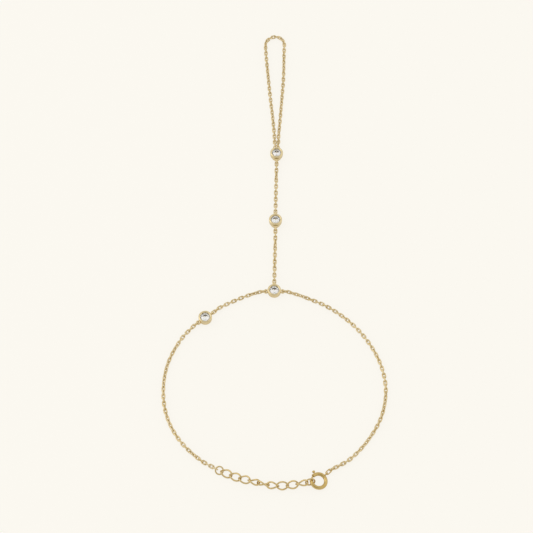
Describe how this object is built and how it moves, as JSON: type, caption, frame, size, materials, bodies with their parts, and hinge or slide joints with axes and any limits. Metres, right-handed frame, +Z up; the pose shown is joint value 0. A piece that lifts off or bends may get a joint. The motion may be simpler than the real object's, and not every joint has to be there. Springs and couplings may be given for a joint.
{
  "type": "hand chain bracelet",
  "caption": "Fine gold hand chain bracelet: a wrist loop with extender and spring ring clasp, a chain up the hand and a finger loop, set with round bezel stones.",
  "frame": {"origin": "centre of the laid-out bracelet's footprint, on the surface it lies on", "axes": "+X to the right, +Y from the wrist loop towards the finger loop, +Z up out of the surface"},
  "size_m": [0.0626, 0.1514, 0.0024],
  "materials": {
    "chain": "polished pale gold",
    "bezel": "polished pale gold",
    "stone": "cut clear stone",
    "extender": "polished pale gold",
    "clasp": "polished pale gold"
  },
  "bodies": {
    "bracelet": {"wrist_chain_right": "chain", "wrist_chain_left": "chain", "wrist_chain_front": "chain", "hand_chain_lower": "chain", "hand_chain_upper": "chain", "finger_loop_chain": "chain", "bezel_wrist": "bezel", "bezel_side": "bezel", "bezel_hand": "bezel", "bezel_finger": "bezel", "stone_wrist": "stone", "stone_side": "stone", "stone_hand": "stone", "stone_finger": "stone", "extender_ring": "extender", "extender_link_1": "extender", "extender_link_2": "extender", "extender_link_3": "extender", "extender_link_4": "extender", "extender_link_5": "extender", "extender_link_6": "extender", "extender_link_7": "extender", "extender_link_8": "extender", "extender_link_9": "extender", "extender_end_link": "extender", "clasp_ring": "clasp", "clasp_jump_ring": "clasp"},
    "gate": {"clasp_gate": "clasp"}
  },
  "joints": [
    {"name": "clasp_gate_slide", "type": "hinge", "parent": "bracelet", "child": "gate", "pos_m": [0.0117, -0.07311, 0.00081], "axis": [-0.1564, 0, -0.9877], "range_deg": [0, 38], "stiffness_Nm_per_rad": 0.002, "springref_deg": -20.05}
  ]
}
